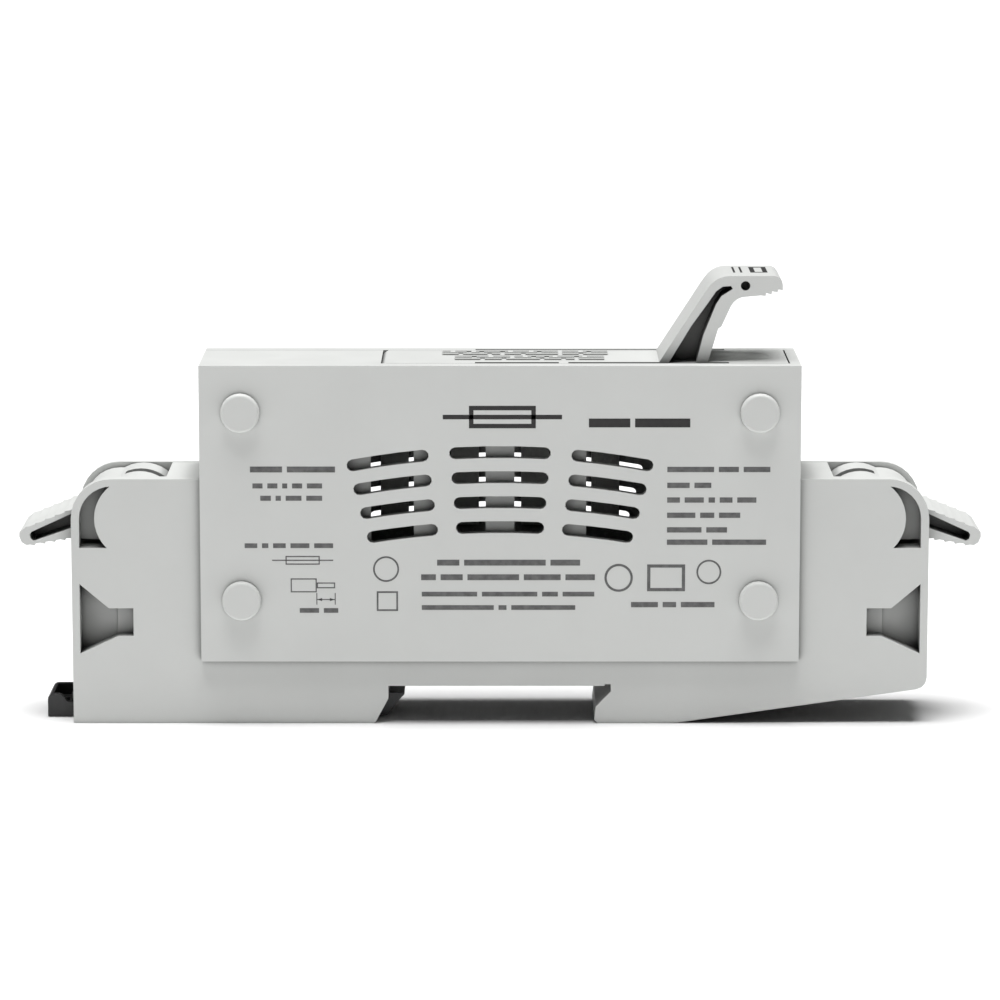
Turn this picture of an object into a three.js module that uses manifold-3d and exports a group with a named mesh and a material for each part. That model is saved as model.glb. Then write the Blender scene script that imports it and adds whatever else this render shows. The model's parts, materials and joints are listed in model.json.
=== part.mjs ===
// Cartridge fuse holder for a 35 mm top-hat rail.
// Millimetres, +Z up, +X along the holder, -Y is the front. The origin is the middle of the seat
// that rests on the rail, so the rail passes under it along Y.
import * as THREE from 'three';
import { mergeVertices } from 'three/addons/utils/BufferGeometryUtils.js';
import Module from 'manifold-3d';

const wasm = await Module();
wasm.setup();

// ---------------------------------------------------------------- driving dimensions
const GAP = 0.3;                    // air between pieces that touch
const RUN = 0.08;                   // radial clearance of a pin that turns
const END_X = 72.35;                // half length of the housing
const TOP_Z = 35.5;                 // top of the terminal sections
const BASE_Z = -6.4;                // lowest face
const CORNER_R = 6.8;               // round upper corner of a terminal section
const CHEEK_Y = 9.9;                // half thickness of the terminal sections
const BOX_X = 50.5;                 // half length of the raised fuse box
const BOX_Y = 11.3;                 // half thickness of the fuse box
const BOX_Z0 = 4.5;
const BOX_Z1 = 54.94;
const WALL = 2.0;
const SEAM_Y = 8.45;                // rear edge of the housing body
const COVER_Y = SEAM_Y + GAP;       // inner face of the rear cover
const FLOOR_Z = 6.5;                // floor of the fuse chamber
const CEILING_Z = 52.9;

const LID = { x0: -19.1, x1: 48.5, y0: -7.9, y1: 8.5, t: 2.2 };
const LID_GAP = 0.25;
const LID_END_GAP = 0.5;            // radial gap at the end that dips as the lid swings
const SIDE_SLOT = { x0: -4.2, x1: 38.5, w: 1.1, ribX0: 9.9, ribX1: 11.5 };   // open slots along the lid
const CARRIER_Y0 = -6.4;            // front face of the handle and the fuse trough
const CARRIER_Y1 = 8.5;
const HANDLE_Y1 = 9.0;
const MID_Y = (CARRIER_Y0 + CARRIER_Y1) / 2;   // middle plane of the carrier, the fuse and the terminals
const PIVOT = { x: -12.9, z: 44.6, r: 2.0 };
const PIVOT_BOSS_R = PIVOT.r + 1.6;
const TROUGH = { x0: -26, x1: 31, z0: 43.2, z1: 50.4, webX0: -13.5 };   // holds the fuse under the lid
const SEAL_HOLE = { x: 41.23, z: 67.83, r: 0.8 };
const HANDLE_RECESS_DEPTH = 5.4;
const FUSE = { z: 45.4, length: 85, capR: 5.15, capLength: 10, tubeR: 4.95, neckR: 4.4 };

const HUB_X = 61.35;                // lever axis, from the middle of the holder
const HUB_Z = 28.72;
const DRUM_R = 6.75;
const DRUM_CLEAR_R = 7.75;
const CHEEK_IN_Y = -6.9;            // inner face of the front cheek
const LEVER_Y0 = CHEEK_IN_Y + GAP;
const LEVER_Y1 = SEAM_Y;
const AXLE_R = 1.5;
const SKIN_R = 5.9;                 // round outer skin of a lever, about a point outboard of its axis
const SKIN_U = 4.05;

const STUD = { x: 43.57, z0: 15.08, z1: 47.06, r: 3.3, h: 1.5, shankR: 1.7 };
const VENT = { rows: 4, pitch: 4.26, z: 40.36, r: 1.02, rearR: 0.82, sag: 135, fanZ: -58 };
const VENT_FAN = [[-0.262, -0.1217], [-0.0869, 0.0869], [0.1217, 0.262]];  // column edges: x per mm of height
const RIB_W = 4.85;
const RIB_PITCH = 12.1;
const RIB_H = 1.1;
const RIB_Z0 = 24.5;
const RIB_Z1 = 43;

const SLOT_U = -5.0;                // inner end of a lever slot, from the lever axis
const SLOT_FLOOR_Z = 23.9;
const CHAMBER_U = -10.2;            // inner wall of a clamp chamber
const CHAMBER_U1 = 0.65;
const CLAMP_FLOOR_Z = 7.6;
const CLAMP_TOP_Z = 23;
const SWING_ROOM = { u: 2.2, z: 17.4 };        // outer part of a chamber, where the leaf's roll turns
const FUNNEL = { z: 11.6, throatU: 4.4, mouthHalf: 5.95, throatR: 3.7 };
const BAR_T = 1.0;                  // thickness of a current bar
const BAR_W = 8;
const SPRING_T = 0.6;

const FOOT = { y: 5, z0: -5.4, z1: -3.0, noseX: -16.3, endX: -77.2, endX1: -72.7, endZ0: -6.3, endZ1: -2.4 };

// ---------------------------------------------------------------- materials
const paint = (colour, roughness, metalness = 0) =>
  new THREE.MeshStandardMaterial({ color: colour, roughness, metalness });
const MATERIAL = {
  housing: paint(0xc9cbc9, 0.55),
  carrier: paint(0xcdcecc, 0.5),
  lever: paint(0xc6c8c6, 0.5),
  foot: paint(0x26282a, 0.5),
  copper: paint(0xc9a58a, 0.35, 1),
  spring: paint(0xb4b6b8, 0.3, 1),
  steel: paint(0xa8abae, 0.35, 1),
  ceramic: paint(0xe9e6dd, 0.6),
  silver: paint(0xd0d0cc, 0.25, 1),
};

// ---------------------------------------------------------------- solids
function solid(geometry) {
  geometry.deleteAttribute('normal');
  geometry.deleteAttribute('uv');
  const merged = mergeVertices(geometry, 1e-5);
  const place = merged.attributes.position;
  const corners = merged.index.array;
  const triVerts = new Uint32Array(signedVolume(place, corners) > 0 ? corners : corners.toReversed());
  const vertProperties = new Float32Array(place.array);
  return new wasm.Manifold(new wasm.Mesh({ numProp: 3, vertProperties, triVerts }));
}

// Six times the volume inside a mesh: negative when its faces point inward, as on a mirrored outline.
function signedVolume(place, corners) {
  const corner = (i) => new THREE.Vector3().fromBufferAttribute(place, corners[i]);
  let sum = 0;
  for (let i = 0; i < corners.length; i += 3) {
    sum += corner(i).dot(corner(i + 1).cross(corner(i + 2)));
  }
  return sum;
}

const join = (...solids) => solids.reduce((a, b) => a.add(b));
const cut = (base, ...tools) => tools.reduce((a, b) => a.subtract(b), base);

function box(x0, x1, y0, y1, z0, z1) {
  const g = new THREE.BoxGeometry(x1 - x0, y1 - y0, z1 - z0);
  g.translate((x0 + x1) / 2, (y0 + y1) / 2, (z0 + z1) / 2);
  return solid(g);
}

const outline = (points) => new THREE.Shape(points.map(([a, b]) => new THREE.Vector2(a, b)));

// A shape drawn in X and Z, as thick as y0 to y1.
function prismY(points, y0, y1) {
  const g = new THREE.ExtrudeGeometry(outline(points), { depth: y1 - y0, bevelEnabled: false });
  g.rotateX(Math.PI / 2);
  g.translate(0, y1, 0);
  return solid(g);
}

// A shape drawn in Y and Z, as thick as x0 to x1.
function prismX(points, x0, x1) {
  const g = new THREE.ExtrudeGeometry(outline(points), { depth: x1 - x0, bevelEnabled: false });
  g.applyMatrix4(new THREE.Matrix4().set(0, 0, 1, x0, 1, 0, 0, 0, 0, 1, 0, 0, 0, 0, 0, 1));
  return solid(g);
}

// A shape drawn in X and Y, from z0 up to z1.
function prismZ(points, z0, z1) {
  const g = new THREE.ExtrudeGeometry(outline(points), { depth: z1 - z0, bevelEnabled: false });
  g.translate(0, 0, z0);
  return solid(g);
}

// A round bar along Y.
function rodY(x, z, r, y0, y1, sides = 24) {
  const g = new THREE.CylinderGeometry(r, r, y1 - y0, sides);
  g.translate(x, (y0 + y1) / 2, z);
  return solid(g);
}

// A turned body along X: profile points are [distance along X, radius], about (y, z).
function turnedX(profile, y, z, sides = 24) {
  const points = profile.map(([x, r]) => new THREE.Vector2(r, x));
  const g = new THREE.LatheGeometry(points, sides);
  g.rotateZ(-Math.PI / 2);
  g.translate(0, y, z);
  return solid(g);
}

// Points on an arc, angles in degrees from the first axis.
function arc(cx, cz, r, from, to, steps) {
  return Array.from({ length: steps + 1 }, (_, i) => {
    const a = THREE.MathUtils.degToRad(from + (to - from) * i / steps);
    return [cx + r * Math.cos(a), cz + r * Math.sin(a)];
  });
}

// A terminal is drawn as (u, w): u outboard and w up from its lever axis. side is -1 left, 1 right.
const atSide = (side) => ([u, w]) => [side * (HUB_X + u), HUB_Z + w];
const sideX = (side, u) => side * (HUB_X + u);

function boxAtSide(side, u0, u1, y0, y1, z0, z1) {
  const xs = [sideX(side, u0), sideX(side, u1)];
  return box(Math.min(...xs), Math.max(...xs), y0, y1, z0, z1);
}

const prismAtSide = (side, points, y0, y1) => prismY(points.map(atSide(side)), y0, y1);

// ---------------------------------------------------------------- shared outlines
function housingOutline() {
  return [
    [-END_X, BASE_Z],
    ...arc(-END_X + CORNER_R, TOP_Z - CORNER_R, CORNER_R, 180, 90, 8),
    ...arc(END_X - CORNER_R, TOP_Z - CORNER_R, CORNER_R, 90, 0, 8),
    ...arc(END_X - 2, 1.4, 2, 0, -82, 3),
    [29.7, BASE_Z],
    [16.6, BASE_Z], [16, -5.9], [16.25, -3.6],
    [18.8, -0.96], [18.8, 0.3], [17.75, 0.3], [17.75, 0],     // hook, with a relief at its root
    [-18.95, 0], [-18.95, -2.2], [-21.2, BASE_Z],
  ];
}

// One curved vent slot between x0 and x1, round ended, sagging as a flat arc.
function ventOutline(x0, x1, z, r) {
  const height = (x) => z - x * x / (2 * VENT.sag);
  const slope = (x) => THREE.MathUtils.radToDeg(Math.atan(-x / VENT.sag));
  const steps = 3;
  const along = (i) => x0 + (x1 - x0) * i / steps;
  const upper = [];
  const lower = [];
  for (let i = 1; i < steps; i++) {
    upper.push([along(i), height(along(i)) + r]);
    lower.unshift([along(i), height(along(i)) - r]);
  }
  return [
    ...arc(x0, height(x0), r, 270 + slope(x0), 90 + slope(x0), 5),
    ...upper,
    ...arc(x1, height(x1), r, 90 + slope(x1), -90 + slope(x1), 5),
    ...lower,
  ];
}

function ventCuts(y0, y1, r) {
  const cuts = [];
  for (let row = 0; row < VENT.rows; row++) {
    const z = VENT.z - row * VENT.pitch;
    for (const [k0, k1] of VENT_FAN) {
      const reach = z - VENT.fanZ;
      cuts.push(prismY(ventOutline(k0 * reach + r, k1 * reach - r, z, r), y0, y1));
    }
  }
  return cuts;
}

// Upright ribs behind the slots. Front and rear ribs are staggered, so no straight probe goes through.
function ribs(offset, count, y0, y1) {
  return Array.from({ length: count }, (_, i) => {
    const x = offset + i * RIB_PITCH;
    return box(x - RIB_W / 2, x + RIB_W / 2, y0, y1, RIB_Z0, RIB_Z1);
  });
}

// Crescent window in a cheek, between the hub disc and the round corner.
function cheekWindow(side, y0, y1) {
  const crescent = [...arc(4.09, 0, 5.55, 90, 0, 8), [9.65, -4.97], [2, -4.97], [2, 5.55]];
  return cut(prismAtSide(side, crescent, y0, y1), rodY(sideX(side, 0), HUB_Z, 7.07, y0 - 1, y1 + 1, 40));
}

const studPlaces = [-1, 1].flatMap((side) => [STUD.z0, STUD.z1].map((z) => [side * STUD.x, z]));

// ---------------------------------------------------------------- housing
function terminalCuts(side) {
  const top = TOP_Z + 1 - HUB_Z;
  const out = END_X + 1 - HUB_X;
  const low = SLOT_FLOOR_Z - HUB_Z;
  const slotShape = [[SLOT_U, top], [out, top], [out, low], [SLOT_U, low]];
  const slot = prismAtSide(side, slotShape, CHEEK_IN_Y, COVER_Y);
  const drum = rodY(sideX(side, 0), HUB_Z, DRUM_CLEAR_R, CHEEK_IN_Y, COVER_Y, 32);
  const chamber = join(
    boxAtSide(side, CHAMBER_U, CHAMBER_U1, CHEEK_IN_Y, COVER_Y, CLAMP_FLOOR_Z, CLAMP_TOP_Z),
    boxAtSide(side, 0, SWING_ROOM.u, CHEEK_IN_Y, COVER_Y, SWING_ROOM.z, CLAMP_TOP_Z),
  );
  const halfSlot = BAR_W / 2 + GAP;
  const barSlot = boxAtSide(side, CHAMBER_U - 5, CHAMBER_U + 1, MID_Y - halfSlot, MID_Y + halfSlot,
    CLAMP_FLOOR_Z, CLAMP_FLOOR_Z + BAR_T + 2 * GAP);
  const axleHole = rodY(sideX(side, 0), HUB_Z, AXLE_R + RUN, -8.7, COVER_Y);
  return [slot, drum, chamber, barSlot, wireFunnel(side), axleHole];
}

// Wire entry: a square funnel from the end face into a round throat.
function wireFunnel(side) {
  const mouth = END_X + 0.01 - HUB_X;
  const { z, throatU: throat, mouthHalf, throatR } = FUNNEL;
  const g = new THREE.CylinderGeometry(throatR * Math.SQRT2, mouthHalf * Math.SQRT2, mouth - throat, 4);
  g.rotateY(Math.PI / 4);
  g.rotateZ(side * Math.PI / 2);
  g.translate(sideX(side, (mouth + throat) / 2), MID_Y, z);
  const bore = new THREE.CylinderGeometry(throatR, throatR, throat - CHAMBER_U1 + 1.5, 20);
  bore.rotateZ(Math.PI / 2);
  bore.translate(sideX(side, (throat + CHAMBER_U1) / 2), MID_Y, z);
  return join(solid(g), solid(bore));
}

// Funnel-shaped moulding pocket in a cheek. Its floor rises from the outer end to a shallow square.
function cheekPocket(side, faceY, inward, depth) {
  const [outerU, bendU, innerU] = [9.7, 3.63, 0.65];
  const shape = [[outerU, -11.16], [4.8, -15.32], [innerU, -15.32], [innerU, -20.09], [3.2, -20.09],
    [outerU, -23.1]];
  const at = (share) => faceY + inward * depth * share;
  const floor = [[outerU + 1, faceY - inward], [outerU + 1, at(1)], [outerU, at(1)], [bendU, at(0.8)],
    [bendU - 0.1, at(0.66)], [innerU - 1, at(0.6)], [innerU - 1, faceY - inward]];
  const ys = floor.map(([, y]) => y);
  const wedge = prismZ(floor.map(([u, y]) => [sideX(side, u), y]), HUB_Z - 25, HUB_Z - 9);
  return prismAtSide(side, shape, Math.min(...ys), Math.max(...ys)).intersect(wedge);
}

function railFootCuts() {
  const slide = box(-80, -18, -FOOT.y - GAP, FOOT.y + GAP, FOOT.z0 - GAP, FOOT.z1 + GAP);
  const nose = box(-26, -18, -FOOT.y - GAP, FOOT.y + GAP, BASE_Z - 1, -1.9);
  return [slide, nose];
}

function housingBody() {
  const shell = join(prismY(housingOutline(), -CHEEK_Y, SEAM_Y),
    box(-BOX_X, BOX_X, -BOX_Y, SEAM_Y, BOX_Z0, BOX_Z1));
  const inside = BOX_X - WALL;
  const wallY = -BOX_Y + WALL;
  const chamber = box(-inside, inside, wallY, COVER_Y, FLOOR_Z, CEILING_Z);
  const mouth = box(PIVOT.x, LID.x1 + LID_GAP, LID.y0 - LID_GAP, COVER_Y, CEILING_Z - 1, BOX_Z1 + 1);
  const swingR = Math.hypot(LID.x0 - PIVOT.x, BOX_Z1 - PIVOT.z) + LID_END_GAP;
  const swing = rodY(PIVOT.x, PIVOT.z, swingR, LID.y0 - LID_GAP, COVER_Y, 64);
  const studHoles = studPlaces.map(([x, z]) =>
    rodY(x, z, STUD.shankR + RUN, -BOX_Y - 1, wallY + 1, 16));
  const pivotRing = rodY(PIVOT.x, PIVOT.z, PIVOT_BOSS_R, wallY - 0.5, CARRIER_Y0 - GAP, 24);
  const pivotBore = rodY(PIVOT.x, PIVOT.z, PIVOT.r + RUN, wallY - 0.4, CARRIER_Y0, 24);
  let body = cut(shell, chamber, mouth, swing, ...studHoles, ...ventCuts(-BOX_Y - 1, wallY + 0.5, VENT.r));
  body = join(body, ...ribs(-2 * RIB_PITCH, 4, wallY, wallY + RIB_H), pivotRing);
  body = cut(body, pivotBore, ...railFootCuts());
  for (const side of [-1, 1]) {
    body = cut(body, ...terminalCuts(side), cheekWindow(side, -CHEEK_Y - 1, CHEEK_IN_Y + 0.01),
      cheekPocket(side, -CHEEK_Y, 1, 4.2));
  }
  return body;
}

function rearCover() {
  const inside = BOX_X - WALL;
  const recessY = BOX_Y - 1.2;
  let cover = join(prismY(housingOutline(), COVER_Y, CHEEK_Y),
    box(-BOX_X, BOX_X, COVER_Y, BOX_Y, BOX_Z0, BOX_Z1));
  cover = cut(cover, box(-inside, inside, COVER_Y - 1, recessY, FLOOR_Z, CEILING_Z),
    box(SIDE_SLOT.x0, SIDE_SLOT.x1, COVER_Y - 1, COVER_Y + SIDE_SLOT.w, CEILING_Z - 1, BOX_Z1 + 1),
    ...ventCuts(recessY - 0.5, BOX_Y + 1, VENT.rearR));
  const pivotPad = rodY(PIVOT.x, PIVOT.z, PIVOT_BOSS_R, COVER_Y, recessY + 0.5, 24);
  cover = join(cover, ...ribs(-1.5 * RIB_PITCH, 4, COVER_Y, recessY), pivotPad);
  const studDimples = studPlaces.map(([x, z]) => rodY(x, z, STUD.r + GAP, BOX_Y - 0.7, BOX_Y + 1, 24));
  cover = cut(cover, rodY(PIVOT.x, PIVOT.z, PIVOT.r + RUN, COVER_Y - 1, recessY + 0.3), ...studDimples);
  for (const side of [-1, 1]) {
    cover = cut(cover, cheekWindow(side, COVER_Y - 1, CHEEK_Y + 1),
      rodY(sideX(side, 0), HUB_Z, AXLE_R + RUN, COVER_Y - 1, COVER_Y + 0.7),
      cheekPocket(side, CHEEK_Y, -1, 0.6));
  }
  return cover;
}

// Round stud pressed into the front wall: it spaces the next holder off.
function spacerStud(x, z) {
  const face = -BOX_Y - GAP / 3;
  const points = [[0, 0], [STUD.r - 0.35, 0], [STUD.r, 0.35], [STUD.r, STUD.h], [STUD.shankR, STUD.h],
    [STUD.shankR, STUD.h + WALL], [0, STUD.h + WALL]].map(([r, d]) => new THREE.Vector2(r, d));
  const g = new THREE.LatheGeometry(points, 24);
  g.translate(x, face - STUD.h, z);
  return solid(g);
}

// ---------------------------------------------------------------- fuse carrier
// Leaning leg and level hook of the pull handle, toothed under the tip.
function handleOutline() {
  return [
    [26.8, BOX_Z1 - 1], [26.8, BOX_Z1],
    [34.4, 66.7], ...arc(38.6, 65.2, 4.3, 148, 90, 5),
    [46.2, 69.5], ...arc(46, 68, 1.5, 75, 0, 3), [47.5, 67.1], [46.7, 67.2], [46.6, 66.7], [45.7, 66.9],
    [45.6, 66.4], [44.7, 66.6], [44.6, 66.1], [43.8, 66.2],
    [40.8, 65.93], ...arc(41.4, 63.1, 2.9, 110, 155, 3),
    [37.2, 60.9], [36.7, 60.6], [35, BOX_Z1], [35, BOX_Z1 - 1],
  ];
}

const handleRecess = [
  [28.4, BOX_Z1 - 0.15], [32.2, 61.1], [35, 65], [36.3, 66.9], [37.4, 67.7],
  [38.8, 67.8], [39.1, 67.3], [37.2, 66.1], [36.3, 64.7], [34.2, 59.5], [33, BOX_Z1 - 0.15],
];

function fuseCarrier() {
  const top = BOX_Z1;
  const under = top - LID.t;
  const endR = Math.hypot(LID.x0 - PIVOT.x, top - PIVOT.z);
  const lid = cut(box(LID.x0 - 4, LID.x1, LID.y0, LID.y1, under, top),
    cut(box(LID.x0 - 5, PIVOT.x, LID.y0 - 1, LID.y1 + 1, under - 1, top + 1),
      rodY(PIVOT.x, PIVOT.z, endR, LID.y0 - 2, LID.y1 + 2, 96)));
  const sideY0 = CARRIER_Y0 + 0.1;
  const sideY1 = CARRIER_Y1 - 0.1;
  const [slotZ, slotY] = [under - 0.5, LID.y0 - 1];
  const frontSlots = [[SIDE_SLOT.x0, SIDE_SLOT.ribX0], [SIDE_SLOT.ribX1, SIDE_SLOT.x1]]
    .map(([x0, x1]) => box(x0, x1, slotY, CARRIER_Y0, slotZ, top + 1));
  const trough = join(
    box(TROUGH.x0, TROUGH.x1, sideY0, sideY1, TROUGH.z0, TROUGH.z1),
    box(TROUGH.webX0, TROUGH.x1, sideY0, sideY1, TROUGH.z1 - 0.5, under + 0.1),
    rodY(PIVOT.x, PIVOT.z, PIVOT_BOSS_R, sideY0, sideY1, 24),
  );
  const seat = turnedX([[-45, 0], [-45, FUSE.capR + GAP], [45, FUSE.capR + GAP], [45, 0]], MID_Y, FUSE.z, 28);
  const below = box(-45, 45, MID_Y - 4.5, MID_Y + 4.5, TROUGH.z0 - 5, FUSE.z);
  const handle = prismY(handleOutline(), CARRIER_Y0, HANDLE_Y1);
  const scoop = new THREE.SphereGeometry(1, 24, 12);
  scoop.scale(9.5, 6.2, 1.5);
  scoop.translate(36.4, MID_Y, top + 0.1);
  const scoopCut = cut(solid(scoop), box(20, 34.6, -10, 12, top - 5, top + 5));
  const carrier = cut(join(cut(lid, ...frontSlots), trough, handle), seat, below, scoopCut,
    prismY(handleRecess, CARRIER_Y0 - 1, CARRIER_Y0 + HANDLE_RECESS_DEPTH),
    prismY(handleRecess, HANDLE_Y1 - HANDLE_RECESS_DEPTH, HANDLE_Y1 + 1),
    rodY(SEAL_HOLE.x, SEAL_HOLE.z, SEAL_HOLE.r, CARRIER_Y0 - 1, HANDLE_Y1 + 1, 16));
  return join(carrier,
    rodY(PIVOT.x, PIVOT.z, PIVOT.r, -BOX_Y + WALL, sideY0 + 0.5, 24),
    rodY(PIVOT.x, PIVOT.z, PIVOT.r, sideY1 - 0.5, BOX_Y - 1.2, 24));
}

// ---------------------------------------------------------------- cartridge fuse, 10 x 85
function fuseTube() {
  const half = FUSE.length / 2;
  const shoulder = half - FUSE.capLength - GAP;
  const neckEnd = half - 1.1;
  return turnedX([[-neckEnd, 0], [-neckEnd, FUSE.neckR], [-shoulder, FUSE.neckR], [-shoulder, FUSE.tubeR],
    [shoulder, FUSE.tubeR], [shoulder, FUSE.neckR], [neckEnd, FUSE.neckR], [neckEnd, 0]], MID_Y, FUSE.z, 28);
}

function fuseCap(side) {
  const tip = FUSE.length / 2;
  const rim = tip - FUSE.capLength;
  const bore = FUSE.neckR + GAP;
  return turnedX([[tip, 0], [tip, FUSE.capR - 0.5], [tip - 0.5, FUSE.capR], [rim, FUSE.capR], [rim, bore],
    [tip - 0.8, bore], [tip - 0.8, 0]].map(([x, r]) => [side * x, r]), MID_Y, FUSE.z, 28);
}

// ---------------------------------------------------------------- fuse contacts and current path
// A U of strip round a fuse cap, drawn in Y and Z, open upward for open = 1 and downward for -1.
function uStrip(innerR, t, leg, flare, open) {
  const bend = (r, from, to) => arc(MID_Y, 0, r, from, to, 10).map(([y, z]) => [y, FUSE.z + open * z]);
  const lip = (side, r, out, rise) => [MID_Y + side * (r + out), FUSE.z + open * rise];
  const r1 = innerR + t;
  return [
    lip(-1, r1, flare, leg + flare * 1.5), lip(-1, r1, 0, leg), ...bend(r1, 180, 360),
    lip(1, r1, 0, leg), lip(1, r1, flare, leg + flare * 1.5),
    lip(1, innerR, flare, leg + flare * 1.5), lip(1, innerR, 0, leg), ...bend(innerR, 360, 180),
    lip(-1, innerR, 0, leg), lip(-1, innerR, flare, leg + flare * 1.5),
  ];
}

const CLIP = { x0: 34, x1: 41.8, r: FUSE.capR + 0.15, t: 0.8, strapX: 45.6, strapZ: 12 };

// The left clip hangs from above the fuse, the right clip stands below it, as each fuse end leaves.
const clipOpening = (side) => side;

function spanX(side, a, b) {
  return [side * a, side * b].sort((p, q) => p - q);
}

function contactClip(side) {
  const open = clipOpening(side);
  const base = FUSE.z - open * (CLIP.r + CLIP.t / 2);
  const jaws = prismX(uStrip(CLIP.r, CLIP.t, 3, 0.7, open), ...spanX(side, CLIP.x0, CLIP.x1));
  const bridge = box(...spanX(side, CLIP.x0, CLIP.strapX + CLIP.t), MID_Y - 1.5, MID_Y + 1.5,
    base - CLIP.t / 2, base + CLIP.t / 2);
  const strap = box(...spanX(side, CLIP.strapX, CLIP.strapX + CLIP.t), MID_Y - 3, MID_Y + 3,
    base - CLIP.strapZ, base + CLIP.t / 2);
  return cut(join(jaws, bridge, strap), rivetHole(side));
}

const rivetHeight = (side) => FUSE.z - clipOpening(side) * (CLIP.r + CLIP.t / 2) - CLIP.strapZ + 3;

function rivetHole(side) {
  const r = 1.3;
  const [x0, x1] = [43, 50].map((x) => side * x);
  return turnedX([[x0, 0], [x0, r], [x1, r], [x1, 0]], MID_Y, rivetHeight(side), 12);
}

// Steel spring band that presses the jaws of the clip on the fuse cap.
function clipSpring(side) {
  const inner = CLIP.r + CLIP.t + 0.25;
  const notch = box(...spanX(side, 30, 45), MID_Y - 1.8, MID_Y + 1.8, FUSE.z - 3, FUSE.z + 3);
  return cut(prismX(uStrip(inner, 0.55, 2, 0, clipOpening(side)), ...spanX(side, 36, 40)), notch);
}

function clipRivet(side) {
  const x = CLIP.strapX + CLIP.t;
  const profile = [[x - 1.6, 0], [x - 1.6, 1.6], [x - 1.1, 2], [x - 1.1, 1.1], [x + 1.9, 1.1], [x + 1.9, 0]];
  return turnedX(profile.map(([a, r]) => [side * a, r]), MID_Y, rivetHeight(side), 12);
}

// Current bar: down the end wall of the fuse chamber, then out under the wire clamp.
function currentBar(side) {
  const x = CLIP.strapX + CLIP.t + GAP;
  const foot = CLAMP_FLOOR_Z + GAP;
  const [y0, y1] = [MID_Y - BAR_W / 2, MID_Y + BAR_W / 2];
  const upright = box(...spanX(side, x, x + BAR_T), y0, y1, foot, rivetHeight(side) + 3);
  const level = box(...spanX(side, x, HUB_X + 0.2), y0, y1, foot, foot + BAR_T);
  return cut(join(upright, level), rivetHole(side));
}

// ---------------------------------------------------------------- wire clamp
const LEAF = { u: 0, w: -9.3, reach: 11.2, rest: -117.4, rollR: 0.7 };

// Fixed leg of the clamp spring, rolled into an open loop that carries the moving leg.
function clampSpring(side) {
  const loopIn = LEAF.rollR + GAP;
  const loopOut = loopIn + SPRING_T;
  const loop = [...arc(LEAF.u, LEAF.w, loopOut, 180, -80, 12),
    ...arc(LEAF.u, LEAF.w, loopIn, -80, 180, 12)];
  const leg = [[LEAF.u, LEAF.w + loopIn], [LEAF.u, LEAF.w + loopOut], [CHAMBER_U + GAP, LEAF.w + loopOut],
    [CHAMBER_U + GAP, LEAF.w + loopIn]];
  return join(...[loop, leg].map((shape) => prismAtSide(side, shape, MID_Y - 3.5, MID_Y + 3.5)));
}

// Moving leg of the clamp spring: it slants down and inward on to the current bar.
function clampLeaf(side) {
  const a = THREE.MathUtils.degToRad(LEAF.rest);
  const along = [Math.cos(a), Math.sin(a)];
  const across = [-Math.sin(a), Math.cos(a)];
  const at = (d, o) => [LEAF.u + along[0] * d + across[0] * o, LEAF.w + along[1] * d + across[1] * o];
  const h = SPRING_T / 2;
  const strip = [at(0, h), at(LEAF.reach - 1.2, h), at(LEAF.reach, h + 0.5), at(LEAF.reach, h - 0.1),
    at(LEAF.reach - 1.2, -h), at(0, -h)];
  const roll = rodY(sideX(side, LEAF.u), HUB_Z + LEAF.w, LEAF.rollR, MID_Y - 3.3, MID_Y + 3.3, 12);
  return join(prismAtSide(side, strip, MID_Y - 3.3, MID_Y + 3.3), roll);
}

// ---------------------------------------------------------------- lever
// Teeth along a straight edge from one point to another, pointing to its left.
function toothed(from, to, count, height) {
  const [dx, dz] = [to[0] - from[0], to[1] - from[1]];
  const length = Math.hypot(dx, dz);
  const normal = [-dz / length, dx / length];
  const points = [];
  for (let i = 0; i < count; i++) {
    const [a, b] = [(i + 0.35) / count, (i + 0.8) / count];
    points.push([from[0] + dx * a, from[1] + dz * a]);
    points.push([from[0] + dx * b + normal[0] * height, from[1] + dz * b + normal[1] * height]);
    points.push([from[0] + dx * (i + 0.85) / count, from[1] + dz * (i + 0.85) / count]);
  }
  return [from, ...points, to];
}

function leverOutline() {
  return [
    [0, SKIN_R], ...arc(SKIN_U, 0, SKIN_R, 90, 20, 6),
    ...toothed([10.9, 1.2], [19.3, -2.2], 5, 0.2),
    [20.05, -2.8], [20.1, -3.6], [19.7, -4.6],
    ...toothed([18.9, -5.1], [12, -3.9], 4, 0.3),
    [4, -4.2], [0, -4],
  ];
}

function lever(side) {
  const axisX = sideX(side, 0);
  const drum = rodY(axisX, HUB_Z, DRUM_R, LEVER_Y0, LEVER_Y1, 40);
  const groove = cut(rodY(axisX, HUB_Z, DRUM_R + 1, -0.9, 2.3, 40), rodY(axisX, HUB_Z, 4, -1, 3, 24),
    boxAtSide(side, 2.5, 12, -2, 4, HUB_Z - 10, HUB_Z + 10));
  const tabPocket = [[10.6, 0.6], [10.6, -1.9], [17.6, -4.3], [18.1, -4], [18.3, -3.3], [18, -2.8]];
  const pocketDepth = 4.8;
  const pockets = [
    prismAtSide(side, tabPocket, LEVER_Y0 - 1, LEVER_Y0 + pocketDepth),
    prismAtSide(side, tabPocket, LEVER_Y1 - pocketDepth, LEVER_Y1 + 1),
  ];
  return cut(join(drum, prismAtSide(side, leverOutline(), LEVER_Y0, LEVER_Y1)), groove, ...pockets,
    rodY(axisX, HUB_Z, AXLE_R + RUN, LEVER_Y0 - 1, LEVER_Y1 + 1));
}

const leverAxle = (side) => rodY(sideX(side, 0), HUB_Z, AXLE_R, -8.4, COVER_Y + 0.4);

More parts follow.
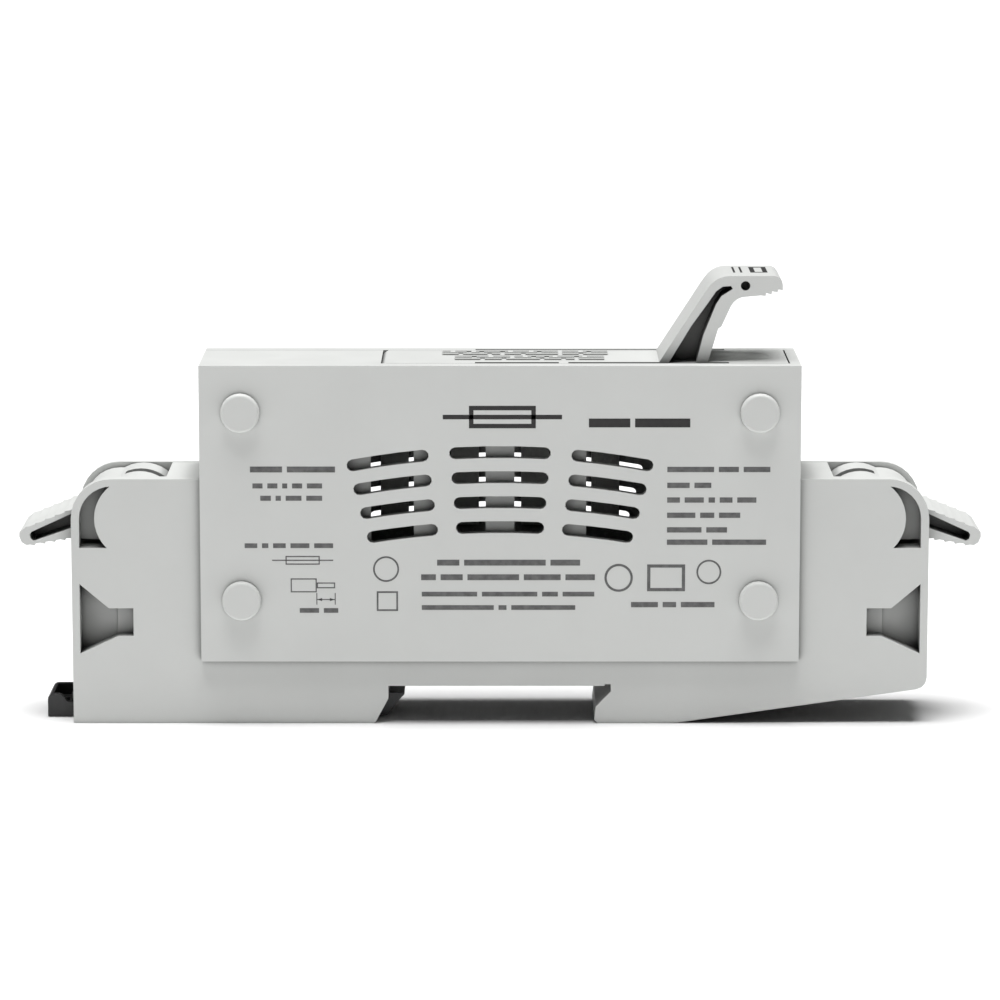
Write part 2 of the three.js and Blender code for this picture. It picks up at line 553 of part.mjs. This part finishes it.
// ---------------------------------------------------------------- rail foot
// Flat slide with a catch nose under the rail and a hollow pull end with a slot for a screwdriver.
function railFoot() {
  const { y, z0, z1, noseX, endX, endX1, endZ0, endZ1 } = FOOT;
  const nose = [[-21.6, -6.1], [-19.3, -6.1], [noseX - 0.5, -3], [noseX, -2.5], [noseX, -2.2], [-21.6, -2.2]];
  const end = [[endX, endZ0], [endX1, endZ0], [endX1, endZ1], ...arc(endX + 1, endZ1 - 1, 1, 90, 180, 4)];
  const rim = 1;
  const slotHalf = 1.8;
  const dipZ = endZ1 - 1.5;
  const hollow = box(endX + rim, endX1 - rim / 2, -y + rim, y - rim, z0 + rim, endZ1 + 1);
  const slot = box(endX + 1.4, endX1 - 1.2, -slotHalf, slotHalf, endZ0 - 1, endZ1);
  const dip = [[endX + 2, endZ1 + 1], [endX + 2, endZ1], [endX + 2.7, dipZ + 1], [endX + 3.3, dipZ + 0.2],
    [endX + 3.9, dipZ], [endX1 + 1, dipZ], [endX1 + 1, endZ1 + 1]];
  return cut(join(box(endX1 - 1, -21, -y, y, z0, z1), prismY(nose, -y, y), prismY(end, -y, y)), hollow, slot,
    prismY(dip, -y - 1, -y + rim + 0.1));
}

// ---------------------------------------------------------------- assembly
const group = new THREE.Group();

function add(name, body, material) {
  const mesh = body.getMesh();
  const geometry = new THREE.BufferGeometry();
  geometry.setAttribute('position', new THREE.BufferAttribute(mesh.vertProperties, 3));
  geometry.setIndex(new THREE.BufferAttribute(mesh.triVerts, 1));
  geometry.computeVertexNormals();
  const part = new THREE.Mesh(geometry, material);
  part.name = name;
  group.add(part);
}

add('housing_body', housingBody(), MATERIAL.housing);
add('rear_cover', rearCover(), MATERIAL.housing);
for (const [x, z] of studPlaces) {
  const name = `spacer_stud_${x < 0 ? 'left' : 'right'}_${z === STUD.z1 ? 'upper' : 'lower'}`;
  add(name, spacerStud(x, z), MATERIAL.housing);
}
add('fuse_carrier', fuseCarrier(), MATERIAL.carrier);
add('fuse_tube', fuseTube(), MATERIAL.ceramic);
for (const [side, label] of [[-1, 'left'], [1, 'right']]) {
  add(`fuse_cap_${label}`, fuseCap(side), MATERIAL.silver);
  add(`contact_clip_${label}`, contactClip(side), MATERIAL.copper);
  add(`clip_spring_${label}`, clipSpring(side), MATERIAL.spring);
  add(`clip_rivet_${label}`, clipRivet(side), MATERIAL.steel);
  add(`current_bar_${label}`, currentBar(side), MATERIAL.copper);
  add(`clamp_spring_${label}`, clampSpring(side), MATERIAL.spring);
  add(`clamp_leaf_${label}`, clampLeaf(side), MATERIAL.spring);
  add(`lever_${label}`, lever(side), MATERIAL.lever);
  add(`lever_axle_${label}`, leverAxle(side), MATERIAL.steel);
}
add('rail_foot', railFoot(), MATERIAL.foot);

export default group;
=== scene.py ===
"""Cartridge fuse holder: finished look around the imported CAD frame. Metres, same frame as the CAD."""
import json
import math

import bmesh
import bpy
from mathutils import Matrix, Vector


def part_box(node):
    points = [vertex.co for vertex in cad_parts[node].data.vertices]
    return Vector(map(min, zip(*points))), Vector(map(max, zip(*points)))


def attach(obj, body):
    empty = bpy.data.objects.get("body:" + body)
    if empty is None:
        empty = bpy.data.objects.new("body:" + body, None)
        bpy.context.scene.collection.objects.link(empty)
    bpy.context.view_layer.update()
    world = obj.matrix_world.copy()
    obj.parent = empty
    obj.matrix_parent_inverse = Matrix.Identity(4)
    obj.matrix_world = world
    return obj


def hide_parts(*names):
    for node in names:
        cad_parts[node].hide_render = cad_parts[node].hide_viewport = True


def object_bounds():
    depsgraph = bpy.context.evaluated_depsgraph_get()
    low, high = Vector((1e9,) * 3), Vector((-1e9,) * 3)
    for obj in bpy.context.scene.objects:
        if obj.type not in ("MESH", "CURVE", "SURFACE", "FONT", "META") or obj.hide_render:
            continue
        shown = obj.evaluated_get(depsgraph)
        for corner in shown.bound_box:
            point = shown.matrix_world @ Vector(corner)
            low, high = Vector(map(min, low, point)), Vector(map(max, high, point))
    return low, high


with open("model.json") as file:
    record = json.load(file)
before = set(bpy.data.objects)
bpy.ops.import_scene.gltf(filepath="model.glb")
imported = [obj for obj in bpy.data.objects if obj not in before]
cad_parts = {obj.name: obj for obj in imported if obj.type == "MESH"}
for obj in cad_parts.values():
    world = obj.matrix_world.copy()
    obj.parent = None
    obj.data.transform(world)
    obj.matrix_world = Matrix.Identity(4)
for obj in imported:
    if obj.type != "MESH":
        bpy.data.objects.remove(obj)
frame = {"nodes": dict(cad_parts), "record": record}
CAD_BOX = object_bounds()
MM = 0.001

CAMERA_LENS = 165.76             # focal length in millimetres, on a 36 mm wide sensor
CAMERA_PLACE = (0.0, -0.77456, 0.16093)
CAMERA_DOWN = 9.573              # degrees below level
SKY_STRENGTH = 0.1
SUN_ENERGY = 4.25
SUN_WIDTH = 40                   # degrees: a wide, soft overhead light
SUN_TILT = 2                     # degrees that it comes from the front, and also from the left
FLOOR_HALF = 12.0                # half the floor's width
FLOOR_GAP = 0.00005              # keeps the floor from touching the base


# ---------------------------------------------------------------- camera, light and floor
def make_camera():
    """Long lens from the front, a little above, as in a catalogue picture."""
    data = bpy.data.cameras.new("camera")
    data.lens = CAMERA_LENS
    data.sensor_width = 36.0
    data.clip_start = 0.05
    data.clip_end = 60.0
    cam = bpy.data.objects.new("camera", data)
    cam.location = CAMERA_PLACE
    cam.rotation_euler = (math.radians(90 - CAMERA_DOWN), 0.0, 0.0)
    bpy.context.scene.collection.objects.link(cam)
    bpy.context.scene.camera = cam


def make_light():
    """A large soft light from overhead, and a faint even one from everywhere."""
    world = bpy.data.worlds.new("studio")
    world.use_nodes = True
    background = world.node_tree.nodes["Background"]
    background.inputs["Color"].default_value = (1, 1, 1, 1)
    background.inputs["Strength"].default_value = SKY_STRENGTH
    bpy.context.scene.world = world
    sun = bpy.data.lights.new("overhead", "SUN")
    sun.energy = SUN_ENERGY
    sun.angle = math.radians(SUN_WIDTH)
    overhead = bpy.data.objects.new("overhead", sun)
    overhead.rotation_euler = (math.radians(SUN_TILT), math.radians(-SUN_TILT), 0)
    bpy.context.scene.collection.objects.link(overhead)
    bpy.context.scene.view_settings.view_transform = "Standard"


def make_floor():
    """A white floor just under the base."""
    z = CAD_BOX[0][2] - FLOOR_GAP
    mesh = bpy.data.meshes.new("floor")
    corners = [(x * FLOOR_HALF, y * FLOOR_HALF, z) for x, y in ((-1, -1), (1, -1), (1, 1), (-1, 1))]
    mesh.from_pydata(corners, [], [(0, 1, 2, 3)])
    floor = bpy.data.objects.new("floor", mesh)
    bpy.context.scene.collection.objects.link(floor)
    mat = bpy.data.materials.new("floor_white")
    mat.use_nodes = True
    shader = mat.node_tree.nodes["Principled BSDF"]
    shader.inputs["Base Color"].default_value = (0.93, 0.93, 0.93, 1)
    shader.inputs["Roughness"].default_value = 0.9
    shader.inputs["Specular IOR Level"].default_value = 0.1
    mesh.materials.append(mat)


# ---------------------------------------------------------------- materials
def new_material(name):
    """A material, its node tree and its shader."""
    mat = bpy.data.materials.new(name)
    mat.use_nodes = True
    return mat, mat.node_tree, mat.node_tree.nodes["Principled BSDF"]


def object_noise(tree, scale, detail=3.0, roughness=0.5):
    """Noise that stays put on the piece as it moves."""
    coords = tree.nodes.new("ShaderNodeTexCoord")
    noise = tree.nodes.new("ShaderNodeTexNoise")
    noise.inputs["Scale"].default_value = scale
    noise.inputs["Detail"].default_value = detail
    noise.inputs["Roughness"].default_value = roughness
    tree.links.new(coords.outputs["Object"], noise.inputs["Vector"])
    return noise


def ramp(tree, source, stops):
    """Turns a value into a colour, through stops of (value, colour)."""
    node = tree.nodes.new("ShaderNodeValToRGB")
    elements = node.color_ramp.elements
    while len(elements) < len(stops):
        elements.new(0.5)
    for element, (place, colour) in zip(elements, stops):
        element.position = place
        element.color = (*colour, 1)
    tree.links.new(source, node.inputs["Fac"])
    return node


def grey(v):
    return (v, v, v)


# Painted shade: how light a colour stays (second value) where this share of the space around is open (first
# value).
HOLLOWS = [(0.1, 0.42), (0.45, 0.62), (0.65, 0.66), (0.85, 1.0)]
SLITS = [(0.08, 0.1), (0.4, 0.7), (0.7, 1.0)]
CHAMBER = [(0.03, 0.05), (0.2, 1.0)]
HOLLOW_REACH = 0.006             # how far each of the three looks around a point, in metres
SLIT_REACH = 0.0018
CHAMBER_REACH = 0.04
CAVITY_SAMPLES = 12

# Noise scales: the larger, the finer.
FLOW_SCALE = 45.0                # plastic: flow marks, rubbed patches and tool grain
RUB_SCALE = 130.0
GRAIN_SCALE = 5200.0
STREAK_SCALE = 900.0             # metal: streaks and tarnish
TARNISH_SCALE = 160.0
COVER_SCALE = 900.0              # ink
GRAIN_DEPTH = 0.00005            # metres
STREAK_DEPTH = 0.00004
STREAK_STRENGTH = 0.12


def painted_cavity_shade(tree, colour_socket, reach, stops, own_shape_only=False):
    """Painted shade: the colour made darker where other surfaces are near, such as in slots and pockets,
    where shade falls.
    """
    hollow = tree.nodes.new("ShaderNodeAmbientOcclusion")
    hollow.samples = CAVITY_SAMPLES
    hollow.only_local = own_shape_only
    hollow.inputs["Distance"].default_value = reach
    shade = ramp(tree, hollow.outputs["AO"], [(place, grey(v)) for place, v in stops])
    mix = tree.nodes.new("ShaderNodeMix")
    mix.data_type = "RGBA"
    mix.blend_type = "MULTIPLY"
    mix.inputs["Factor"].default_value = 1.0
    tree.links.new(colour_socket, mix.inputs["A"])
    tree.links.new(shade.outputs["Color"], mix.inputs["B"])
    return mix.outputs["Result"]


def relief(tree, shader, source, strength, depth):
    """Fine bumps in the surface that follow a value."""
    bump = tree.nodes.new("ShaderNodeBump")
    bump.inputs["Strength"].default_value = strength
    bump.inputs["Distance"].default_value = depth
    tree.links.new(source, bump.inputs["Height"])
    tree.links.new(bump.outputs["Normal"], shader.inputs["Normal"])


def moulded(name, colour, roughness, grain=0.06, specular=0.4, stands_on_floor=False):
    """Moulded plastic: eroded-tool grain, faint flow marks, rubbed, slightly shinier patches and painted
    shade in hollows.

    With stands_on_floor, the painted shade of HOLLOWS looks at the piece's own shape only, so the floor
    doesn't darken its base.
    """
    mat, tree, shader = new_material(name)
    flow = object_noise(tree, FLOW_SCALE, 4.0, 0.6)
    low = tuple(c * 0.975 for c in colour)
    high = tuple(min(1.0, c * 1.02) for c in colour)
    tint = ramp(tree, flow.outputs["Fac"], [(0.3, low), (0.7, high)])
    # Painted shade: the colour is darkened in pockets, slits and the vent chamber, where shade falls.
    shaded_colour = painted_cavity_shade(tree, tint.outputs["Color"], HOLLOW_REACH, HOLLOWS, stands_on_floor)
    shaded_colour = painted_cavity_shade(tree, shaded_colour, SLIT_REACH, SLITS)
    shaded_colour = painted_cavity_shade(tree, shaded_colour, CHAMBER_REACH, CHAMBER)
    tree.links.new(shaded_colour, shader.inputs["Base Color"])
    rub = object_noise(tree, RUB_SCALE, 3.0)
    rough = ramp(tree, rub.outputs["Fac"], [(0.3, grey(roughness - 0.05)), (0.7, grey(roughness + 0.05))])
    tree.links.new(rough.outputs["Color"], shader.inputs["Roughness"])
    shader.inputs["Specular IOR Level"].default_value = specular
    fine = object_noise(tree, GRAIN_SCALE, 2.0)
    relief(tree, shader, fine.outputs["Fac"], grain, GRAIN_DEPTH)
    return mat


def metal(name, colour, roughness, squeeze, tarnish=0.85):
    """Rolled or turned metal: streaks, patchy tarnish and small roughness changes.

    The noise is squeezed on each axis, and the streaks run across the axis where it is squeezed most.
    """
    mat, tree, shader = new_material(name)
    shader.inputs["Metallic"].default_value = 1.0
    coords = tree.nodes.new("ShaderNodeTexCoord")
    stretch = tree.nodes.new("ShaderNodeMapping")
    stretch.inputs["Scale"].default_value = squeeze
    tree.links.new(coords.outputs["Object"], stretch.inputs["Vector"])
    streak = tree.nodes.new("ShaderNodeTexNoise")
    streak.inputs["Scale"].default_value = STREAK_SCALE
    streak.inputs["Detail"].default_value = 3.0
    tree.links.new(stretch.outputs["Vector"], streak.inputs["Vector"])
    patch = object_noise(tree, TARNISH_SCALE, 4.0)
    tint = ramp(tree, patch.outputs["Fac"], [(0.35, tuple(c * tarnish for c in colour)), (0.65, colour)])
    tree.links.new(tint.outputs["Color"], shader.inputs["Base Color"])
    rough = ramp(tree, streak.outputs["Fac"], [(0.3, grey(roughness - 0.07)), (0.7, grey(roughness + 0.1))])
    tree.links.new(rough.outputs["Color"], shader.inputs["Roughness"])
    relief(tree, shader, streak.outputs["Fac"], STREAK_STRENGTH, STREAK_DEPTH)
    return mat


def ink(name, colour):
    """Pad-printed ink: slightly uneven cover and a soft satin surface."""
    mat, tree, shader = new_material(name)
    cover = object_noise(tree, COVER_SCALE, 3.0)
    dark = tuple(c * 0.8 for c in colour)
    pale = tuple(c * 1.5 for c in colour)
    tint = ramp(tree, cover.outputs["Fac"], [(0.3, dark), (0.75, pale)])
    tree.links.new(tint.outputs["Color"], shader.inputs["Base Color"])
    shader.inputs["Roughness"].default_value = 0.45
    return mat


MATERIALS = {
    "housing_plastic": moulded("housing_plastic", (0.65, 0.66, 0.645), 0.5, stands_on_floor=True),
    "carrier_plastic": moulded("carrier_plastic", (0.65, 0.66, 0.645), 0.47),
    "lever_plastic": moulded("lever_plastic", (0.66, 0.67, 0.655), 0.47),
    "foot_plastic": moulded("foot_plastic", (0.014, 0.014, 0.015), 0.42, grain=0.1, specular=0.6),
    "tinned_copper": metal("tinned_copper", (0.76, 0.62, 0.5), 0.32, squeeze=(1, 1, 8)),
    "spring_steel": metal("spring_steel", (0.6, 0.61, 0.62), 0.28, squeeze=(1, 10, 1)),
    "steel": metal("steel", (0.56, 0.57, 0.58), 0.3, squeeze=(1, 12, 1)),
    "ceramic": moulded("ceramic", (0.82, 0.8, 0.74), 0.55, grain=0.12, specular=0.3),
    "silvered_cap": metal("silvered_cap", (0.82, 0.81, 0.78), 0.24, squeeze=(10, 1, 1), tarnish=0.92),
}
SLOT_OF = {s["node"]: s["material_slot"] for s in frame["record"]["subparts"]}
BODY_OF = {n: body for body, nodes in frame["record"]["behaviour"]["bodies"].items() for n in nodes}

# Radius of the moulded edges, in millimetres, by how the node's name starts.
EDGE_R = {"housing_body": 0.45, "rear_cover": 0.45, "fuse_carrier": 0.25, "lever_left": 0.25,
          "lever_right": 0.25, "spacer_stud": 0.2, "rail_foot": 0.3}
SMALL_EDGE_R = 0.1               # every other piece
WELD = 0.000005                  # metres: vertices closer than this are merged
FLAT_ANGLE = 0.6                 # degrees: faces that meet at less than this become one
SHARP_ANGLE = 32                 # degrees: edges that turn more than this are rounded


# ---------------------------------------------------------------- printed and raised marks
# Millimetres, from here to the end of this section.
FRONT_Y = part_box("housing_body")[0][1] / MM
TOP_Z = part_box("housing_body")[1][2] / MM
HANDLE_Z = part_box("fuse_carrier")[1][2] / MM
LIFT = 0.02                      # thickness of an ink film
SINK = 0.02                      # how far every mark goes into its face
RAISED = 0.25                    # height of a raised mark
LEAD_SHARE = 0.22                # share of a fuse symbol that is bare line, at each end


def front_plane(y_face):
    """Places (x, z, height) in millimetres on a face that looks towards -Y."""
    return lambda x, z, h: (x * MM, (y_face - h) * MM, z * MM)


def top_plane(z_face):
    """Places (x, y, height) in millimetres on a face that looks up."""
    return lambda x, y, h: (x * MM, y * MM, (z_face + h) * MM)


def tile(work, place, outline, height):
    """A thin flat tile with the given outline, sunk a little into the face so that no gap shows."""
    low = [work.verts.new(place(a, b, -SINK)) for a, b in outline]
    high = [work.verts.new(place(a, b, height)) for a, b in outline]
    work.faces.new(high)
    work.faces.new(list(reversed(low)))
    count = len(outline)
    for i in range(count):
        j = (i + 1) % count
        work.faces.new((low[i], low[j], high[j], high[i]))


def bar(work, place, a0, a1, b0, b1, height):
    """A tile from a0 to a1 and from b0 to b1."""
    tile(work, place, [(a0, b0), (a1, b0), (a1, b1), (a0, b1)], height)


def ring(work, place, centre, radius, width, height, sides=40):
    """A plain ring, made of short tiles that meet end to end."""
    for i in range(sides):
        rays = [(math.cos(t), math.sin(t)) for t in (2 * math.pi * (i + k) / sides for k in (0, 1))]
        inner = [(centre[0] + (radius - width) * c, centre[1] + (radius - width) * s) for c, s in rays]
        outer = [(centre[0] + radius * c, centre[1] + radius * s) for c, s in rays]
        tile(work, place, [inner[0], outer[0], outer[1], inner[1]], height)


def frame_mark(work, place, a0, a1, b0, b1, width, height):
    """A plain rectangle drawn as a line."""
    bar(work, place, a0, a1, b0, b0 + width, height)
    bar(work, place, a0, a1, b1 - width, b1, height)
    bar(work, place, a0, a0 + width, b0 + width, b1 - width, height)
    bar(work, place, a1 - width, a1, b0 + width, b1 - width, height)


def line_of_dashes(work, place, a0, a1, middle, thick, shares, height, gap=0.8):
    """A row of plain dashes that fills a0 to a1, each as long as its share, in place of a line of text."""
    unit = (a1 - a0 - gap * (len(shares) - 1)) / sum(shares)
    at = a0
    for share in shares:
        bar(work, place, at, at + share * unit, middle - thick / 2, middle + thick / 2, height)
        at += share * unit + gap


def fuse_symbol(work, place, a0, a1, middle, half, width, height):
    """The plain circuit symbol of a fuse: a box with a line through it."""
    lead = (a1 - a0) * LEAD_SHARE
    frame_mark(work, place, a0 + lead, a1 - lead, middle - half, middle + half, width, height)
    bar(work, place, a0, a1, middle - width / 2, middle + width / 2, height)


def mark_piece(name, body, material, draw):
    """One object that holds everything that draw puts down, riding on the given body."""
    work = bmesh.new()
    draw(work)
    bmesh.ops.recalc_face_normals(work, faces=work.faces)
    mesh = bpy.data.meshes.new(name)
    work.to_mesh(mesh)
    work.free()
    mesh.materials.append(material)
    piece = bpy.data.objects.new(name, mesh)
    bpy.context.scene.collection.objects.link(piece)
    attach(piece, body)


# Rows of dashes on the front panel: x from, x to, middle z, thickness, share of each dash.
FRONT_ROWS = [
    (-42.0, -27.7, 37.4, 1.0, (4, 6)),
    (-41.6, -29.9, 34.6, 0.85, (2, 2, 1, 2, 3)),
    (-40.3, -29.9, 32.5, 0.85, (2, 1, 3, 3)),
    (-43.0, -28.1, 24.4, 0.8, (2, 1, 2, 3, 3)),
    (-33.8, -27.3, 13.3, 0.8, (4, 3)),
    (-10.6, 13.5, 21.5, 1.0, (3, 11, 4)),
    (-13.3, 16.0, 19.0, 1.0, (2, 3, 7, 5, 4)),
    (-13.2, 15.9, 16.1, 0.8, (7, 7, 2, 4)),
    (-13.2, 12.7, 13.8, 0.8, (9, 1, 8)),
    (28.1, 45.4, 37.4, 0.9, (7, 3, 4)),
    (28.1, 35.5, 34.7, 0.9, (4, 3)),
    (28.1, 43.1, 32.2, 0.9, (2, 3, 1, 2, 3)),
    (28.1, 40.4, 29.6, 0.9, (4, 2, 3)),
    (28.1, 38.2, 27.1, 0.9, (5, 3)),
    (28.1, 44.8, 25.0, 0.9, (6, 8)),
    (22.1, 36.2, 14.3, 0.9, (4, 2, 5)),
]


def draw_front_small(work):
    """Dashes, and plain symbols, rings and rectangles, in place of the small grey print."""
    place = front_plane(FRONT_Y)
    for a0, a1, middle, thick, shares in FRONT_ROWS:
        line_of_dashes(work, place, a0, a1, middle, thick, shares, LIFT)
    fuse_symbol(work, place, -38.4, -28.1, 21.9, 0.75, 0.2, LIFT)
    draw_strip_length(work, place)
    ring(work, place, (-19.2, 20.4), 2.2, 0.3, LIFT)
    frame_mark(work, place, -20.8, -17.2, 13.2, 16.6, 0.3, LIFT)
    ring(work, place, (20.0, 18.9), 2.4, 0.4, LIFT)
    frame_mark(work, place, 24.8, 31.2, 16.6, 21.2, 0.55, LIFT)
    ring(work, place, (35.2, 19.9), 2.1, 0.3, LIFT)


def draw_strip_length(work, place):
    """A wire with its bare end, and two limit lines with an arrow between them."""
    frame_mark(work, place, -35.3, -30.9, 16.4, 18.8, 0.2, LIFT)
    frame_mark(work, place, -30.9, -27.8, 17.1, 18.1, 0.2, LIFT)
    for x in (-30.9, -27.8):
        bar(work, place, x - 0.08, x + 0.08, 14.3, 16.3, LIFT)
    bar(work, place, -30.9, -27.8, 15.1, 15.25, LIFT)
    for tip, back in ((-30.8, -30.0), (-27.9, -28.7)):
        tile(work, place, [(tip, 15.17), (back, 14.9), (back, 15.45)], LIFT)


def draw_front_bold(work):
    """The large fuse symbol above the vents, with two dashes after it."""
    place = front_plane(FRONT_Y)
    fuse_symbol(work, place, -9.6, 10.4, 46.3, 1.9, 0.75, LIFT)
    line_of_dashes(work, place, 14.9, 31.9, 45.3, 1.5, (3, 4), LIFT)


# Raised rows on the lid: x from, x to, middle y, share of each dash.
LID_ROWS = [
    (-9.8, 18.3, 4.4, (2, 3, 1, 2, 4, 2, 3)),
    (-7.6, 17.6, -1.8, (3, 2, 4, 2, 1, 3)),
]


def draw_lid(work):
    """Two raised rows, each of three lines of short dashes."""
    place = top_plane(TOP_Z)
    for a0, a1, middle, words in LID_ROWS:
        for offset, shift in ((-1.8, 0), (0, 1), (1.8, 2)):
            shares = words[shift:] + words[:shift]
            line_of_dashes(work, place, a0, a1, middle + offset, 0.9, shares, RAISED)


def draw_handle(work):
    """Two strokes and a rectangle on top of the handle."""
    place = top_plane(HANDLE_Z)
    for x in (39.4, 40.6):
        bar(work, place, x, x + 0.35, -1.5, 6.5, LIFT)
    frame_mark(work, place, 42.3, 45.2, -1.5, 6.5, 0.8, LIFT)


# ---------------------------------------------------------------- finished pieces
def edge_radius(node):
    """The radius that the node's edges are rounded to, in millimetres."""
    for start, radius in EDGE_R.items():
        if node.startswith(start):
            return radius
    return SMALL_EDGE_R


def finished_piece(node):
    """The node's own shape with real rounded edges and clean flat faces, in place of the faceted solid."""
    source = frame["nodes"][node]
    mesh = source.data.copy()
    mesh.name = node + "_finish"
    work = bmesh.new()
    work.from_mesh(mesh)
    bmesh.ops.remove_doubles(work, verts=work.verts, dist=WELD)
    bmesh.ops.dissolve_limit(work, angle_limit=math.radians(FLAT_ANGLE), verts=work.verts, edges=work.edges)
    work.to_mesh(mesh)
    work.free()
    piece = bpy.data.objects.new(node + "_finish", mesh)
    bpy.context.scene.collection.objects.link(piece)
    mesh.materials.clear()
    mesh.materials.append(MATERIALS[SLOT_OF[node]])
    bevel = piece.modifiers.new("edges", "BEVEL")
    bevel.width = edge_radius(node) * MM
    bevel.segments = 2
    bevel.limit_method = "ANGLE"
    bevel.angle_limit = math.radians(SHARP_ANGLE)
    bevel.use_clamp_overlap = True
    weighted = piece.modifiers.new("normals", "WEIGHTED_NORMAL")
    weighted.mode = "FACE_AREA"
    weighted.weight = 100
    weighted.keep_sharp = True
    for polygon in mesh.polygons:
        polygon.use_smooth = True
    bpy.context.view_layer.update()
    depsgraph = bpy.context.evaluated_depsgraph_get()
    final = bpy.data.meshes.new_from_object(piece.evaluated_get(depsgraph))
    piece.modifiers.clear()
    piece.data = final
    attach(piece, BODY_OF[node])
    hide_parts(node)


make_camera()
make_light()
make_floor()
for name in sorted(frame["nodes"]):
    finished_piece(name)
mark_piece("front_print_small", "housing", ink("grey_ink", (0.1, 0.1, 0.1)),
           draw_front_small)
mark_piece("front_print_bold", "housing", ink("black_ink", (0.012, 0.011, 0.011)),
           draw_front_bold)
mark_piece("lid_raised_marks", "carrier", MATERIALS["carrier_plastic"], draw_lid)
mark_piece("handle_print", "carrier", ink("handle_ink", (0.03, 0.03, 0.03)), draw_handle)
